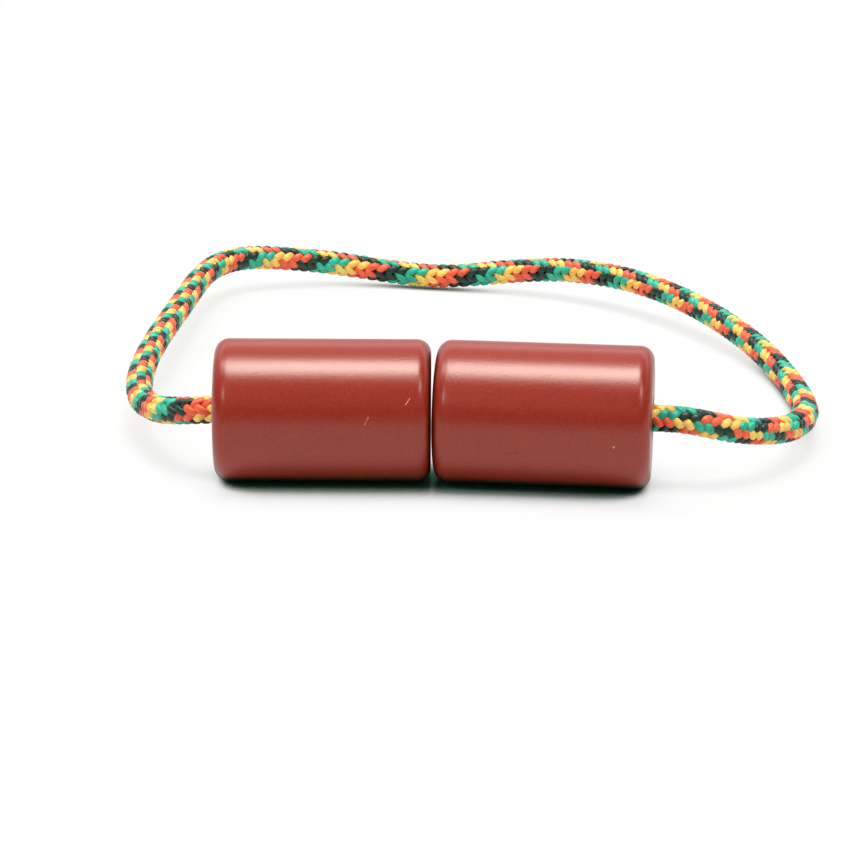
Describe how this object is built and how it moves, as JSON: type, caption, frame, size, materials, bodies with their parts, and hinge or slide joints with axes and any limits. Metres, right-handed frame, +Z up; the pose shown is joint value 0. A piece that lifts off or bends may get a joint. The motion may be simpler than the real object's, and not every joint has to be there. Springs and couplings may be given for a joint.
{
  "type": "begleri",
  "caption": "Begleri: drilled cylindrical metal beads on a short braided cord, knotted inside the beads; lies on a table, beads turn, slide and swing.",
  "frame": {"origin": "on the table, under the middle of the box round the two beads", "axes": "+X along the left bead towards the right bead, +Y from the beads to the back of the cord's loop, +Z up"},
  "size_m": [0.0661, 0.0731, 0.013],
  "materials": {
    "bead_coat": "satin",
    "cord_braid": "braided nylon, slight sheen",
    "melted_nylon": "melted, uneven gloss"
  },
  "bodies": {
    "cord_back": {"back_cord": "cord_braid", "left_corner_cord": "cord_braid", "right_corner_cord": "cord_braid"},
    "left_cord_run": {"left_run_cord": "cord_braid", "left_bend_cord": "cord_braid"},
    "left_cord_end": {"left_end_cord": "cord_braid"},
    "left_knot": {"left_stopper_knot": "cord_braid", "left_melted_tip": "melted_nylon"},
    "left_bead_body": {"left_bead": "bead_coat"},
    "right_cord_run": {"right_run_cord": "cord_braid", "right_bend_cord": "cord_braid"},
    "right_cord_end": {"right_end_cord": "cord_braid"},
    "right_knot": {"right_stopper_knot": "cord_braid", "right_melted_tip": "melted_nylon"},
    "right_bead_body": {"right_bead": "bead_coat"}
  },
  "joints": [
    {"name": "left_cord_swing", "type": "hinge", "parent": "cord_back", "child": "left_cord_run", "pos_m": [-0.02575, 0.0485, 0.0035], "axis": [0, 0, -1], "range_deg": [0, 50], "deforming": ["left_corner_cord"]},
    {"name": "left_bead_swing", "type": "hinge", "parent": "left_cord_run", "child": "left_cord_end", "pos_m": [-0.0251, 0.00525, 0.005], "axis": [0, 0, -1], "range_deg": [0, 75], "deforming": ["left_bend_cord"]},
    {"name": "left_bead_spin", "type": "hinge", "parent": "left_cord_end", "child": "left_knot", "pos_m": [-0.01027, 0.00082, 0.0065], "axis": [1, 0, 0], "continuous": true},
    {"name": "left_bead_slide", "type": "slide", "parent": "left_knot", "child": "left_bead_body", "axis": [-1, 0, 0], "range_m": [0, 0.002]},
    {"name": "right_cord_swing", "type": "hinge", "parent": "cord_back", "child": "right_cord_run", "pos_m": [0.02525, 0.049, 0.0033], "axis": [0, 0, 1], "range_deg": [0, 50], "deforming": ["right_corner_cord"]},
    {"name": "right_bead_swing", "type": "hinge", "parent": "right_cord_run", "child": "right_cord_end", "pos_m": [0.03285, 0.00575, 0.00345], "axis": [0, 0, 1], "range_deg": [0, 75], "deforming": ["right_bend_cord"]},
    {"name": "right_bead_spin", "type": "hinge", "parent": "right_cord_end", "child": "right_knot", "pos_m": [0.00984, -0.00007, 0.0065], "axis": [0.9959, -0.0906, 0], "continuous": true},
    {"name": "right_bead_slide", "type": "slide", "parent": "right_knot", "child": "right_bead_body", "axis": [0.9959, -0.0906, 0], "range_m": [0, 0.003]}
  ]
}
